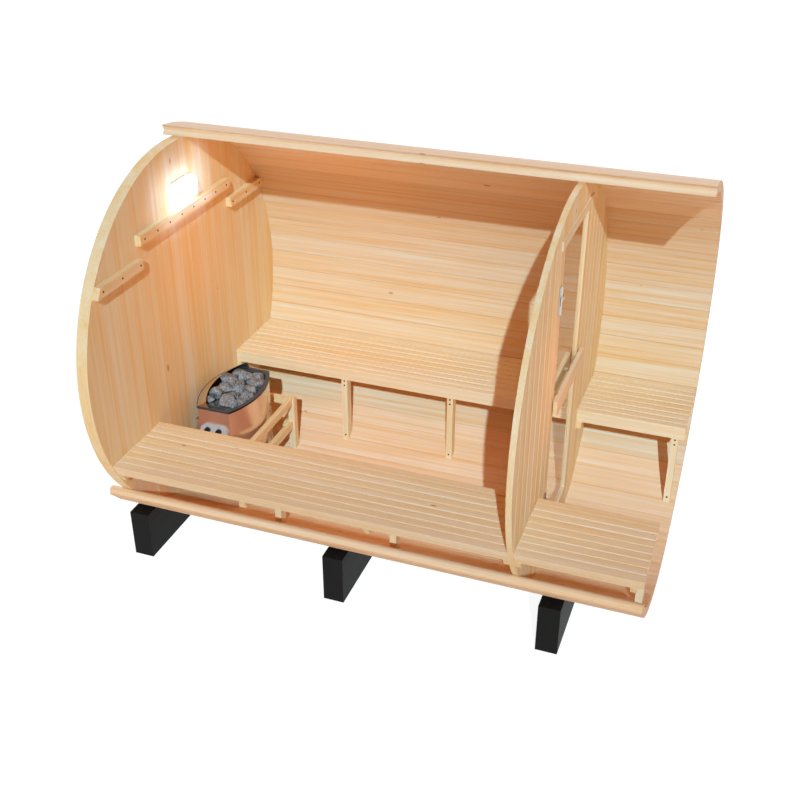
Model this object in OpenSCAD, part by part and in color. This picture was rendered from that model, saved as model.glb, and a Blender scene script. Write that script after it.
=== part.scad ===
// Barrel sauna with a porch, shown with the near staves left off.
// X runs along the barrel from the rear wall to the porch, Y to the closed side, Z up.
// The origin lies on the ground, under the middle of the middle cradle.

/* [Barrel] */
// Radius of the round walls
wall_r = 1000; // [940:5:1060]
// Depth of the groove that holds a round wall in the staves
groove_d = 3; // [2:0.5:6]
// Thickness of a stave
stave_t = 50; // [42:1:60]
// Number of staves in a whole ring
ring_staves = 56; // [52:1:60]
// Number of staves in each of the five groups that stand
group_staves = 7; // [6:1:7]
// Angle of the open ring's upper edge, from the level on the closed side
open_angle = 85.2; // [80:0.1:90]
// Radius of the round bead on a stave's edge
bead_r = 24; // [20:0.5:28]
// Depth of the bead's centre inside its own stave
bead_in = 10; // [6:0.5:14]
// Width of the bevel on a stave's four long corners
stave_bevel = 2; // [1:0.5:2.5]
// Gap in each joint between two staves
joint_gap = 0.3; // [0.2:0.1:1]
// Gap between a piece and the face that it is seated on
seat_gap = 0.3; // [0.2:0.1:1]

/* [Length] */
// Length of the staves behind the rear wall
rear_overhang = 64; // [20:1:120]
// Thickness of the rear wall
rear_wall_t = 60; // [40:1:80]
// Length of the hot room
room_l = 2051; // [1800:1:2400]
// Thickness of the wall between the hot room and the porch
partition_t = 28; // [24:1:40]
// Depth of the porch
porch_l = 584; // [450:1:800]

/* [Cradles] */
// Gap between the barrel and the ground
ground_gap = 53; // [30:1:100]
// Thickness of a cradle along the barrel
cradle_w = 110; // [80:1:150]
// Height of a cradle's ends
cradle_h = 272; // [240:1:320]
// Length of a cradle across the barrel
cradle_l = 1458; // [1360:2:1600]
// Distance from the rear end of the staves to the middle of the rear cradle
rear_cradle_inset = 112; // [80:1:160]
// Distance from the open end of the staves to the middle of the front cradle
front_cradle_inset = 433; // [300:1:500]

/* [Door] */
// Clear width between the jambs
door_w = 510; // [460:2:560]
// Height of the sill's upper face above the barrel's lowest inside line
sill_rise = 197; // [170:1:240]
// Height of the round wall left over the doorway
over_door_h = 180; // [160:1:220]
// Width of a jamb
jamb_w = 60; // [40:1:80]
// Height of the sill
sill_h = 30; // [20:1:40]
// Height of the header board over the doorway
header_h = 45; // [35:1:60]
// Thickness of the header board
header_t = 7; // [4:1:28]
// Length of the header board past each jamb
header_lap = 20; // [10:1:40]
// Thickness of the glass leaf
glass_t = 8; // [6:1:10]
// Gap between the leaf and the frame
leaf_gap = 7; // [6:0.5:10]
// Height of a handle board
handle_h = 80; // [60:1:110]
// Thickness of a handle board
handle_t = 20; // [16:1:32]
// Length of a handle's standoffs
standoff_l = 16; // [14:1:30]
// Radius of a handle's standoffs
standoff_r = 9; // [6:0.5:12]
// Length of the outer handle past the jambs' edge on the latch side
handle_lap = 56; // [0:1:60]
// Length of a hinge
hinge_l = 140; // [90:1:150]
// Distance from the doorway's ends to the middle of a hinge
hinge_inset = 253; // [150:1:350]
// Distance from the doorway's edge to the hinge axis
hinge_out = 35; // [30:1:40]
// Width of a hinge's plate on the glass
hinge_plate_w = 24; // [20:1:70]
// Thickness of the hinge plates and of the heater's bracket
plate_t = 3; // [2:0.5:4]
// Radius of a hinge's pin
pin_r = 2; // [1.5:0.1:3]
// Radial clearance of a turning fit
turn_gap = 0.05; // [0.02:0.01:0.1]

/* [Benches] */
// Height of the bench tops above the barrel's lowest inside line
bench_h = 587; // [540:1:620]
// Distance from the middle plane to the front of a bench
bench_in = 443; // [410:1:470]
// Height of a bench's front board
fascia_h = 72; // [60:1:90]
// Thickness of a bench's front board
fascia_t = 41; // [28:1:50]
// Thickness of the battens, rails and ledgers under the benches and of the guard's rails
board_t = 28; // [22:1:32]
// Width of a slat
slat_w = 48; // [35:1:60]
// Thickness of a slat
slat_t = 28; // [20:1:32]
// Gap between two slats
slat_gap = 5; // [4:0.5:12]
// Radius of the slats' rounded upper edges
slat_round = 4; // [2:0.5:8]
// Height of the rails and ledgers under the benches
rail_h = 45; // [35:1:60]
// Width of a leg
leg_w = 36; // [30:1:50]
// Depth of a leg behind the front board's face
leg_d = 55; // [41:1:70]
// Distance from the ends of the hot room to its legs
leg_inset = 700; // [600:1:800]
// Distance from the barrel's open end to the porch legs
porch_leg_inset = 47; // [40:1:120]

/* [Rear wall] */
// Height of the battens
batten_h = 54; // [40:1:70]
// Thickness of the battens
batten_t = 33; // [25:1:45]
// Length of the long batten
batten_l = 930; // [800:2:1000]
// Distance from the barrel's highest inside line down to the long batten's middle
batten_drop = 365; // [340:1:400]
// Distance from the barrel's highest inside line down to the short battens' middle
short_batten_drop = 481; // [460:1:520]
// Width of the lamp
lamp_w = 232; // [200:2:260]
// Height of the lamp
lamp_h = 126; // [110:2:140]
// Radius of the lamp's corners
lamp_round = 40; // [20:1:48]
// Depth of the lamp's shade
lamp_d = 30; // [20:1:50]
// Thickness of the lamp's base
lamp_base_t = 12; // [8:1:20]
// Width of the base's edge that shows round the shade
lamp_edge = 6; // [3:1:12]
// Distance from the barrel's highest inside line down to the lamp's middle
lamp_drop = 257; // [220:1:260]

/* [Heater] */
// Width of the heater across its curved sides
heater_w = 325; // [280:1:340]
// Length of the heater along the rear wall
heater_l = 496; // [450:1:600]
// Width of the heater's flat ends
heater_end_w = 190; // [150:1:220]
// Height of the heater's casing
heater_h = 480; // [400:1:500]
// Height of the casing's lower edge above the barrel's lowest inside line
heater_rise = 107; // [90:1:160]
// Distance from the rear wall to the casing
heater_gap = 52; // [40:1:100]
// Thickness of the casing
casing_t = 3; // [2:0.5:5]
// Depth of the stone tray below the casing's upper edge
tray_depth = 220; // [150:1:260]
// Height of the stones' crown above the rim
stone_crown = 12; // [5:1:30]
// Width of the rim inside the casing's edge
rim_in = 18; // [8:1:24]
// Overhang of the rim outside the casing's edge
rim_out = 4; // [2:0.5:8]
// Height of the rim
rim_h = 12; // [8:1:20]
// Width of the rim's flat strip at each end of the stone tray
rim_end = 36; // [30:1:60]
// Number of air slots in each end strip
slot_count = 9; // [5:1:10]
// Width of an air slot
slot_w = 6; // [4:0.5:8]
// Distance from one air slot to the next
slot_pitch = 14; // [12:0.5:16]
// Height of the sheet that leans over the stones on the wall side
shield_h = 35; // [20:1:50]
// Depth that the sheet leans over
shield_lean = 50; // [30:1:70]
// Width of the control panel
panel_w = 164; // [140:1:180]
// Height of the control panel
panel_h = 90; // [80:1:120]
// Radius of the control panel's corners
panel_round = 40; // [20:1:40]
// Thickness of the control panel
panel_t = 14; // [10:1:20]
// Distance from the casing's upper edge to the control panel
panel_drop = 86; // [40:1:100]
// Radius of a knob
knob_r = 16; // [12:0.5:20]
// Length of a knob
knob_l = 16; // [10:0.5:22]
// Distance between the knobs
knob_pitch = 68; // [50:1:80]
// Length of a knob's stem inside the panel
stem_l = 10; // [6:0.5:12]
// Radius of a knob's stem
stem_r = 4; // [3:0.1:5]
// Height of the heater's wall bracket
bracket_h = 60; // [40:1:90]
// Width of the guard's square posts
post_w = 40; // [30:1:50]
// Gap between the heater's curved side and its guard
guard_gap = 10; // [8:1:60]
// Gap between the heater's ends and its guard
guard_end_gap = 68; // [30:1:90]
// Height of the guard's upper edge above the barrel's lowest inside line
guard_h = 397; // [360:1:440]
// Distance between the guard's upper and lower rails
guard_pitch = 155; // [120:1:180]

/* [Hidden] */
$fn = 96;

// Sides of a large circle in a quick view
ring_sides = 8 * ring_staves;

// Barrel ring
half_step = 180 / ring_staves;
stave_step = 360 / ring_staves;
stave_in_r = wall_r - groove_d;
stave_out_r = stave_in_r + stave_t;
stave_mid_r = stave_in_r + stave_t / 2;
stave_corner_r = stave_out_r / cos(half_step);
inner_r = stave_in_r - seat_gap;
axis_h = stave_out_r + ground_gap;

// Stations along the barrel
barrel_l = rear_overhang + rear_wall_t + room_l + partition_t + porch_l;
cradle_pitch = (barrel_l - rear_cradle_inset - front_cradle_inset) / 2;
rear_x = -rear_cradle_inset - cradle_pitch;
wall_x = rear_x + rear_overhang;
room_x = wall_x + rear_wall_t;
partition_x = room_x + room_l;
porch_x = partition_x + partition_t;
front_x = porch_x + porch_l;

// Levels, measured from the barrel's axis
floor_z = -stave_in_r;
crown_z = stave_in_r;
sill_z = floor_z + sill_rise;
head_z = wall_r - over_door_h;
batten_z = crown_z - batten_drop;
short_batten_z = crown_z - short_batten_drop;
lamp_z = crown_z - lamp_drop;
bench_z = floor_z + bench_h;
slat_z = bench_z - slat_t;
rail_z = bench_z - fascia_h;
guard_z = floor_z + guard_h;
casing_z = floor_z + heater_rise;
casing_top = casing_z + heater_h;

// Bench places
ledger_z = rail_z - rail_h;
slat_start = bench_in + fascia_t + slat_gap;
slat_pitch = slat_w + slat_gap;
bench_out = sqrt(inner_r * inner_r - bench_z * bench_z);
slat_count = floor((bench_out - slat_start - slat_w / 2) / slat_pitch);
back_board_y = slat_start + slat_count * slat_pitch;
room_legs = [room_x + leg_inset, partition_x - leg_inset];
porch_leg_x = front_x - porch_leg_inset;

// Door leaf, hinge axis and handles
leaf_x = partition_x + partition_t / 2;
leaf_out_x = leaf_x + glass_t / 2;
leaf_near_y = -door_w / 2 + leaf_gap;
leaf_far_y = door_w / 2 - leaf_gap;
knuckle_r = 2 * pin_r;
knuckle_gap = 2;
hinge_x = porch_x + knuckle_r + knuckle_gap;
hinge_y = -door_w / 2 - hinge_out;
hinge_zs = [head_z - hinge_inset, sill_z + hinge_inset];
knuckle_l = hinge_l / 3;
handle_in_end = door_w / 2 - 2 * leaf_gap;

// Heater and its guard
heater_x = room_x + heater_gap + heater_w / 2;
bulge = (heater_w - heater_end_w) / 2;
bulge_r = arc_r(heater_l, bulge);
panel_front_y = -heater_l / 2 - panel_t;
panel_z = casing_top - panel_drop - panel_h / 2;
knob_z = panel_z + panel_h / 6;
guard_x = heater_x + heater_w / 2 + guard_gap;
guard_y = heater_l / 2 + guard_end_gap;

// Radius of an arc with the given chord and rise
function arc_r(chord, rise) = (chord * chord / 4 + rise * rise) / (2 * rise);

wood = "#E3B985";
pale_wood = "#EBCB9C";
dark_stain = "#26241F";
steel = "#B9B5AE";
grey_steel = "#55575A";

// A box between two corners, with heights measured from the barrel's axis
module block(low, high) {
  translate([low.x, low.y, low.z + axis_h]) cube(high - low);
}

// Extrudes an outline drawn across the barrel along its length
module along_barrel(x, length) {
  translate([x, 0, axis_h]) rotate([90, 0, 90]) linear_extrude(length) children();
}

// A round bar along the barrel's axis
module axis_round(x, length, r) {
  translate([x, 0, axis_h]) rotate([0, 90, 0]) cylinder(r = r, h = length, $fn = ring_sides);
}

// Cuts a piece to the curve of the staves that it stands or ends on
module cut_to_staves() {
  intersection() {
    children();
    axis_round(rear_x, barrel_l, inner_r);
  }
}

// Makes the same piece on both sides of the middle plane
module both_sides() {
  children();
  mirror([0, 1, 0]) children();
}

// A rounded rectangle with its middle at the origin
module rounded_plate(size, r) {
  square([size.x - 2 * r, size.y], center = true);
  square([size.x, size.y - 2 * r], center = true);
  for (sx = [-1, 1], sy = [-1, 1])
    translate([sx * (size.x / 2 - r), sy * (size.y / 2 - r)]) circle(r);
}

// Cradles

module cradle(x) {
  difference() {
    translate([x - cradle_w / 2, -cradle_l / 2, 0]) cube([cradle_w, cradle_l, cradle_h]);
    axis_round(x - cradle_w, 2 * cradle_w, stave_corner_r + seat_gap);
  }
}

module cradle_rear() color(dark_stain) cradle(-cradle_pitch);
module cradle_middle() color(dark_stain) cradle(0);
module cradle_front() color(dark_stain) cradle(cradle_pitch);

// Staves with a bead on one edge and a cove on the other

module stave_outline() {
  edge_in = stave_in_r * tan(half_step) - joint_gap / 2;
  edge_out = stave_out_r * tan(half_step) - joint_gap / 2;
  difference() {
    union() {
      polygon([
        [stave_in_r, -edge_in + stave_bevel], [stave_in_r + stave_bevel, -edge_in],
        [stave_out_r - stave_bevel, -edge_out], [stave_out_r, -edge_out + stave_bevel],
        [stave_out_r, edge_out - stave_bevel], [stave_out_r - stave_bevel, edge_out],
        [stave_in_r + stave_bevel, edge_in], [stave_in_r, edge_in - stave_bevel]
      ]);
      rotate(-half_step) translate([stave_mid_r, bead_in]) circle(bead_r);
    }
    rotate(half_step) translate([stave_mid_r, bead_in]) circle(bead_r + joint_gap);
  }
}

module stave_group(group) {
  for (i = [0 : group_staves - 1]) {
    angle = open_angle - half_step - (group * group_staves + i) * stave_step;
    difference() {
      along_barrel(rear_x, barrel_l) rotate(angle) stave_outline();
      axis_round(wall_x - seat_gap, rear_wall_t + 2 * seat_gap, wall_r + seat_gap);
      axis_round(partition_x - seat_gap, partition_t + 2 * seat_gap, wall_r + seat_gap);
    }
  }
}

module roof_staves() color(wood) stave_group(0);
module upper_back_staves() color(wood) stave_group(1);
module lower_back_staves() color(wood) stave_group(2);
module back_floor_staves() color(wood) stave_group(3);
module front_floor_staves() color(wood) stave_group(4);

// Round walls

module rear_wall() color(wood) along_barrel(wall_x, rear_wall_t) circle(wall_r, $fn = ring_sides);

frame_y = door_w / 2 + jamb_w;

module partition_piece(low, high) {
  along_barrel(partition_x, partition_t) intersection() {
    circle(wall_r, $fn = ring_sides);
    translate(low) square(high - low);
  }
}

module partition_near() color(wood) partition_piece([-wall_r, -wall_r], [-frame_y, wall_r]);
module partition_far() color(wood) partition_piece([frame_y, -wall_r], [wall_r, wall_r]);
module partition_over_door() color(wood) partition_piece([-frame_y, head_z], [frame_y, wall_r]);
module partition_under_door() {
  color(wood) partition_piece([-frame_y, -wall_r], [frame_y, sill_z - sill_h]);
}

module door_jamb() {
  block([partition_x, door_w / 2, sill_z], [porch_x, frame_y, head_z]);
}

module door_jamb_near() color(pale_wood) mirror([0, 1, 0]) door_jamb();
module door_jamb_far() color(pale_wood) door_jamb();

module door_header() {
  header_y = frame_y + header_lap;
  color(pale_wood)
    block([porch_x, -header_y, head_z], [porch_x + header_t, header_y, head_z + header_h]);
}

module door_sill() {
  color(pale_wood)
    block([partition_x, -frame_y, sill_z - sill_h], [porch_x, frame_y, sill_z]);
}

// Rear wall fittings

module rear_wall_battens() {
  color(pale_wood) {
    block([room_x, -batten_l / 2, batten_z - batten_h / 2],
          [room_x + batten_t, batten_l / 2, batten_z + batten_h / 2]);
    both_sides() cut_to_staves()
      block([room_x, batten_l / 2, short_batten_z - batten_h / 2],
            [room_x + batten_t, wall_r, short_batten_z + batten_h / 2]);
  }
}

module lamp_base() {
  color("white") along_barrel(room_x, lamp_base_t)
    translate([0, lamp_z]) rounded_plate([lamp_w, lamp_h], lamp_round);
}

module lamp_shade() {
  color("ivory") along_barrel(room_x + lamp_base_t, lamp_d)
    translate([0, lamp_z])
      rounded_plate([lamp_w, lamp_h] - [2, 2] * lamp_edge, lamp_round - lamp_edge);
}

// Benches

module slat(x0, x1, y) {
  along_barrel(x0, x1 - x0) translate([y, slat_z]) {
    square([slat_w, slat_t - slat_round]);
    translate([slat_round, 0]) square([slat_w - 2 * slat_round, slat_t]);
    for (s = [slat_round, slat_w - slat_round])
      translate([s, slat_t - slat_round]) circle(slat_round);
  }
}

module fascia(x0, x1) {
  along_barrel(x0, x1 - x0) translate([bench_in, rail_z]) {
    square([fascia_t, fascia_h - slat_round]);
    translate([slat_round, 0]) square([fascia_t - slat_round, fascia_h]);
    translate([slat_round, fascia_h - slat_round]) circle(slat_round);
  }
}

// Slats between a front board and a back board that is cut to the staves, held together by battens
module bench(x0, x1, batten_xs) {
  fascia(x0, x1);
  for (i = [0 : slat_count - 1]) slat(x0, x1, slat_start + i * slat_pitch);
  cut_to_staves() block([x0, back_board_y, rail_z], [x1, wall_r, bench_z]);
  for (x = batten_xs)
    block([x - board_t / 2, bench_in + fascia_t, rail_z], [x + board_t / 2, back_board_y, slat_z]);
}

module room_bench() {
  ends = [room_x + board_t, partition_x - board_t];
  bench(room_x + seat_gap, partition_x - seat_gap, concat(ends, room_legs));
}

module porch_bench() {
  bench(porch_x + seat_gap, front_x, [porch_x + board_t, porch_leg_x]);
}

module near_bench() color(pale_wood) mirror([0, 1, 0]) room_bench();
module far_bench() color(pale_wood) room_bench();
module porch_near_bench() color(pale_wood) mirror([0, 1, 0]) porch_bench();
module porch_far_bench() color(pale_wood) porch_bench();

module bench_leg(x) {
  cut_to_staves()
    block([x - leg_w / 2, bench_in, -wall_r], [x + leg_w / 2, bench_in + leg_d, rail_z]);
}

module bench_rail(x) {
  cut_to_staves()
    block([x - board_t / 2, bench_in + leg_d, ledger_z], [x + board_t / 2, wall_r, rail_z]);
}

module ledger(x) {
  cut_to_staves() block([x, bench_in, ledger_z], [x + board_t, wall_r, rail_z]);
}

module room_bench_legs() color(pale_wood) both_sides() for (x = room_legs) bench_leg(x);
module room_bench_rails() color(pale_wood) both_sides() for (x = room_legs) bench_rail(x);
module porch_bench_legs() color(pale_wood) both_sides() bench_leg(porch_leg_x);
module porch_bench_rails() color(pale_wood) both_sides() bench_rail(porch_leg_x);
module rear_ledgers() color(pale_wood) both_sides() ledger(room_x);
module partition_ledgers() color(pale_wood) both_sides() ledger(partition_x - board_t);
module porch_ledgers() color(pale_wood) both_sides() ledger(porch_x);

// Heater

module heater_outline(grow) {
  intersection() {
    translate([bulge_r - heater_w / 2, 0]) circle(bulge_r + grow);
    translate([heater_w / 2 - bulge_r, 0]) circle(bulge_r + grow);
    square([2 * heater_w, heater_l + 2 * grow], center = true);
  }
}

module heater_layer(z0, z1, grow) {
  translate([heater_x, 0, axis_h + casing_top + z0])
    linear_extrude(z1 - z0) heater_outline(grow);
}

module heater_casing() {
  color(steel) difference() {
    heater_layer(-heater_h, 0, 0);
    heater_layer(-tray_depth, rim_h, -casing_t);
    heater_layer(-heater_h - casing_t, -tray_depth - casing_t, -casing_t);
  }
}

// A sheet on the rim that leans from the wall side over the stones, with a cheek at each end
module heater_shield() {
  lean = atan(shield_lean / shield_h);
  sheet_r = arc_r(heater_l, bulge * cos(lean));
  cheek_x = heater_x - heater_end_w / 2;
  translate([heater_x - heater_w / 2, 0, axis_h + casing_top + rim_h]) intersection() {
    rotate([0, lean, 0]) translate([sheet_r, 0, 0]) difference() {
      cylinder(r = sheet_r, h = heater_w);
      cylinder(r = sheet_r - casing_t, h = heater_w);
    }
    translate([0, -heater_l / 2, 0]) cube([heater_w / 2, heater_l, shield_h]);
  }
  for (y = [-heater_l / 2, heater_l / 2 - casing_t])
    translate([cheek_x, y + casing_t, axis_h + casing_top + rim_h]) rotate([90, 0, 0])
      linear_extrude(casing_t)
        polygon([[casing_t, 0], [2 * shield_h, 0], [shield_lean + casing_t, shield_h]]);
}

// The rim round the stone tray, with a flat strip of air slots at each end
module heater_rim() {
  tray_l = heater_l - 2 * rim_end;
  color(grey_steel) {
    difference() {
      heater_layer(0, rim_h, rim_out);
      intersection() {
        heater_layer(-rim_h, 2 * rim_h, -rim_in);
        translate([heater_x, 0, axis_h]) cube([heater_w, tray_l, 2 * stave_out_r], center = true);
      }
      for (side = [-1, 1], i = [0 : slot_count - 1])
        translate([heater_x + (i - (slot_count - 1) / 2) * slot_pitch, side * (heater_l - rim_end) / 2, 0])
          linear_extrude(2 * axis_h) square([slot_w, rim_end / 2], center = true);
    }
    heater_shield();
  }
}

module heater_stones() {
  crown_r = 1.5 * heater_l;
  stone_top = axis_h + casing_top + rim_h + stone_crown;
  color("#77777A") intersection() {
    heater_layer(-tray_depth, rim_h + stone_crown, -rim_in - 2 * seat_gap);
    translate([heater_x, 0, stone_top - crown_r]) sphere(crown_r);
    translate([heater_x, 0, axis_h])
      cube([heater_w, heater_l - 2 * rim_end - 2 * seat_gap, 2 * stave_out_r], center = true);
  }
}

module heater_bracket() {
  arm_y = heater_end_w / 2;
  arm_z = casing_top - heater_h / 2;
  color(grey_steel) difference() {
    union() {
      block([room_x, -arm_y, arm_z], [room_x + plate_t, arm_y, arm_z + bracket_h]);
      for (s = [-1, 1])
        block([room_x, s * arm_y - plate_t, arm_z], [heater_x, s * arm_y + plate_t, arm_z + bracket_h]);
    }
    heater_layer(-heater_h, 0, seat_gap);
  }
}

module heater_panel() {
  color(steel) difference() {
    translate([heater_x, -heater_l / 2, axis_h + panel_z]) rotate([90, 0, 0])
      linear_extrude(panel_t) rounded_plate([panel_w, panel_h], panel_round);
    for (s = [-1, 1]) translate([heater_x + s * knob_pitch / 2, 0, axis_h + knob_z])
      rotate([90, 0, 0]) cylinder(r = stem_r + turn_gap, h = heater_l);
  }
}

module heater_knob(side) {
  translate([heater_x + side * knob_pitch / 2, panel_front_y - seat_gap, axis_h + knob_z])
    rotate([90, 0, 0]) {
      cylinder(r = knob_r, h = knob_l);
      translate([-knob_r / 5, -knob_r, 0]) cube([2 * knob_r / 5, 2 * knob_r, knob_l + knob_r / 4]);
      translate([0, 0, -stem_l]) cylinder(r = stem_r, h = stem_l);
    }
}

module heater_knob_left() color("#1C1C1C") heater_knob(-1);
module heater_knob_right() color("#1C1C1C") heater_knob(1);

module guard_posts() {
  color(pale_wood) both_sides() cut_to_staves()
    block([guard_x, guard_y, -wall_r], [guard_x + post_w, guard_y + post_w, guard_z]);
}

module guard_rails() {
  color(pale_wood) for (z = [guard_z, guard_z - guard_pitch]) {
    block([guard_x, -guard_y, z - rail_h], [guard_x + board_t, guard_y, z]);
    both_sides() block([room_x, guard_y, z - rail_h], [guard_x, guard_y + board_t, z]);
  }
}

// Door

module door_glass() {
  color("lightcyan", 0.4)
    block([leaf_x - glass_t / 2, leaf_near_y, sill_z + leaf_gap],
          [leaf_out_x, leaf_far_y, head_z - leaf_gap]);
}

// A handle board on two standoffs, from the glass face at x outwards along dir
module door_handle(x, dir, y0, y1) {
  board_x = x + dir * standoff_l;
  block([min(board_x, board_x + dir * handle_t), y0, -handle_h / 2],
        [max(board_x, board_x + dir * handle_t), y1, handle_h / 2]);
  for (s = [-1, 1]) translate([min(x, board_x), s * door_w / 4, axis_h])
    rotate([0, 90, 0]) cylinder(r = standoff_r, h = standoff_l);
}

module door_handle_outside() {
  color(pale_wood)
    door_handle(leaf_out_x, 1, hinge_y + knuckle_r, door_w / 2 + handle_lap);
}

module door_handle_inside() {
  color(pale_wood) door_handle(leaf_out_x - glass_t, -1, -handle_in_end, handle_in_end);
}

// The turning half of each hinge: a plate on the glass, an arm round the jamb's edge and a knuckle
module door_hinges() {
  arm_l = hinge_x - leaf_out_x + knuckle_r;
  arm_h = knuckle_l / 3;
  color(steel) for (z = hinge_zs) {
    low = z - knuckle_l / 2;
    block([leaf_out_x, leaf_near_y, z - hinge_l / 2],
          [leaf_out_x + plate_t, leaf_near_y + hinge_plate_w, z + hinge_l / 2]);
    block([leaf_out_x, leaf_near_y, z - arm_h / 2],
          [leaf_out_x + arm_l, leaf_near_y + 2 * plate_t, z + arm_h / 2]);
    difference() {
      union() {
        translate([hinge_x, hinge_y, axis_h + low]) cylinder(r = knuckle_r, h = knuckle_l);
        block([hinge_x, hinge_y, z - arm_h / 2],
              [hinge_x + knuckle_r, leaf_near_y + plate_t, z + arm_h / 2]);
      }
      translate([hinge_x, hinge_y, axis_h + low - knuckle_gap])
        cylinder(r = pin_r + turn_gap, h = knuckle_l + 2 * knuckle_gap);
    }
  }
}

// The still half of each hinge: a plate on the jamb, two knuckles and the pin
module jamb_hinges() {
  plate_end = hinge_y - knuckle_r - 2 * plate_t;
  color(steel) for (z = hinge_zs) {
    block([porch_x, -frame_y, z - hinge_l / 2], [porch_x + plate_t, plate_end, z + hinge_l / 2]);
    translate([hinge_x, hinge_y, axis_h + z - hinge_l / 2]) cylinder(r = pin_r, h = hinge_l);
    for (low = [z - hinge_l / 2, z + knuckle_l / 2 + seat_gap]) {
      high = low + knuckle_l - seat_gap;
      translate([hinge_x, hinge_y, axis_h + low])
        cylinder(r = knuckle_r, h = knuckle_l - seat_gap);
      block([porch_x, plate_end, low], [hinge_x, hinge_y, high]);
    }
  }
}

cradle_rear();
cradle_middle();
cradle_front();
roof_staves();
upper_back_staves();
lower_back_staves();
back_floor_staves();
front_floor_staves();
rear_wall();
partition_near();
partition_far();
partition_over_door();
partition_under_door();
door_jamb_near();
door_jamb_far();
door_header();
door_sill();
rear_wall_battens();
lamp_base();
lamp_shade();
near_bench();
far_bench();
porch_near_bench();
porch_far_bench();
room_bench_legs();
room_bench_rails();
porch_bench_legs();
porch_bench_rails();
rear_ledgers();
partition_ledgers();
porch_ledgers();
heater_casing();
heater_rim();
heater_stones();
heater_bracket();
heater_panel();
heater_knob_left();
heater_knob_right();
guard_posts();
guard_rails();
door_glass();
door_handle_outside();
door_handle_inside();
door_hinges();
jamb_hinges();
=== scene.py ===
# %% [markdown]
# # A barrel sauna, seen with its near staves left off
#
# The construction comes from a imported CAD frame: staves, walls, benches, heater and door already
# stand at their real size, in metres. This lesson gives them their finish. It adds the wall boards,
# the stones, the screws and the lamp's shade, and then sets up the camera and the light.

# %% Load the frame
import math
import random

import bmesh
import bpy
from mathutils import Matrix, Vector, noise


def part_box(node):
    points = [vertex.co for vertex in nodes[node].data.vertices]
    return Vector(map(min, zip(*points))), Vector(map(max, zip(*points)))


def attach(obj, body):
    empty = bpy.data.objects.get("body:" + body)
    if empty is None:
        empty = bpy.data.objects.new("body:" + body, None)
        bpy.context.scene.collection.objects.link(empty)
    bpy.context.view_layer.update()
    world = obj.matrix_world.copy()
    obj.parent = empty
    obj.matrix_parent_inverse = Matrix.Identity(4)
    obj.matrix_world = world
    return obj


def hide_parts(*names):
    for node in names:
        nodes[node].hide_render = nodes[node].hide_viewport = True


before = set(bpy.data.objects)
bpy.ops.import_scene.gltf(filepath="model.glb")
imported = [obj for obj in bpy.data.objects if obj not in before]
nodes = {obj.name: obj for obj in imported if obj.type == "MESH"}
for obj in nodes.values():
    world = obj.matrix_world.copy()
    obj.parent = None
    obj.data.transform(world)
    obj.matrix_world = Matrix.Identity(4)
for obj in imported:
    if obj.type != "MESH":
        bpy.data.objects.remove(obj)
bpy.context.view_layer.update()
print(len(nodes), "nodes")

# %% [markdown]
# ## Places that the pieces share
#
# The barrel's axis lies level, so its height and the radius of the round walls come from the rear
# wall's box. They could be typed in, but read from the frame they follow the CAD model if a size
# there changes. The number of staves in a full ring and the angle at which the roof is cut off
# don't show in a box, so these two are typed in.

# %% Read the shared places
wall_low, wall_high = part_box("rear_wall")
AXIS_Z = (wall_low.z + wall_high.z) / 2
WALL_R = (wall_high.z - wall_low.z) / 2
STAVES = 56
STAVE_STEP = 2 * math.pi / STAVES
OPEN_ANGLE = math.radians(85.2)
print("axis height", round(AXIS_Z, 3), "wall radius", round(WALL_R, 3))

# %% [markdown]
# ## Camera
#
# A 50 mm lens on a 36 mm sensor, at the place that lines the barrel up with the photograph. The
# camera looks down at 30 degrees, from the open side and a little towards the porch.

# %% Camera
camera = bpy.data.objects.new("camera", bpy.data.cameras.new("camera"))
camera.data.lens = 50
camera.data.sensor_width = 36
camera.location = (1.846, -4.804, 3.776)
camera.rotation_euler = (math.radians(59.97), 0, math.radians(19.97))
bpy.context.scene.collection.objects.link(camera)
bpy.context.scene.camera = camera
print("camera at", [round(v, 3) for v in camera.location])

# %% [markdown]
# ## Small helpers for materials
#
# Colours are written as sRGB hex values, the way a paint chart or a colour picker gives them, and
# one function turns them to the linear values that the shader needs. The next one adds a node, sets
# its values and links it. A key is the name or number of a socket, or else a setting of the node.
# The last one starts a material.

# %% Colour and node helpers
def linear(code):
    channels = [int(code[i:i + 2], 16) / 255 for i in (1, 3, 5)]
    return [c / 12.92 if c <= 0.04045 else ((c + 0.055) / 1.055) ** 2.4 for c in channels] + [1.0]


def add(tree, kind, settings=None, links=None):
    node = tree.nodes.new(kind)
    for key, value in (settings or {}).items():
        if isinstance(key, int) or key in node.inputs:
            node.inputs[key].default_value = value
        else:
            setattr(node, key, value)
    for key, source in (links or {}).items():
        tree.links.new(source, node.inputs[key])
    return node


def new_material(name):
    material = bpy.data.materials.new(name)
    material.use_nodes = True
    tree = material.node_tree
    shader = next(n for n in tree.nodes if n.type == "BSDF_PRINCIPLED")
    return material, tree, shader


print("white is", [round(c, 3) for c in linear("#FFFFFF")])

# %% [markdown]
# ## Planed spruce
#
# All the pale timber is bare planed spruce: soft streaks a few centimetres wide run along each
# board, finer ones lie between them, each board has its own tone, and here and there sits a small
# knot. The streaks could be painted, but noise that is stretched along the board gives them on
# every face, ends too. The same recipe serves every piece, so only the coordinates differ: how far
# along, across and through the board a point lies, and which board it is on.
#
# Wall boards, slats, rails and posts are straight, so the distance from the first board's edge,
# divided by the width of a board, gives the board's number. The benches on the two sides of the
# barrel mirror each other, and there the numbers of the two sides are moved apart, so that no two
# slats have the same grain.

# %% Coordinates of straight boards
SIDE_SHIFT = 40.0


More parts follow.
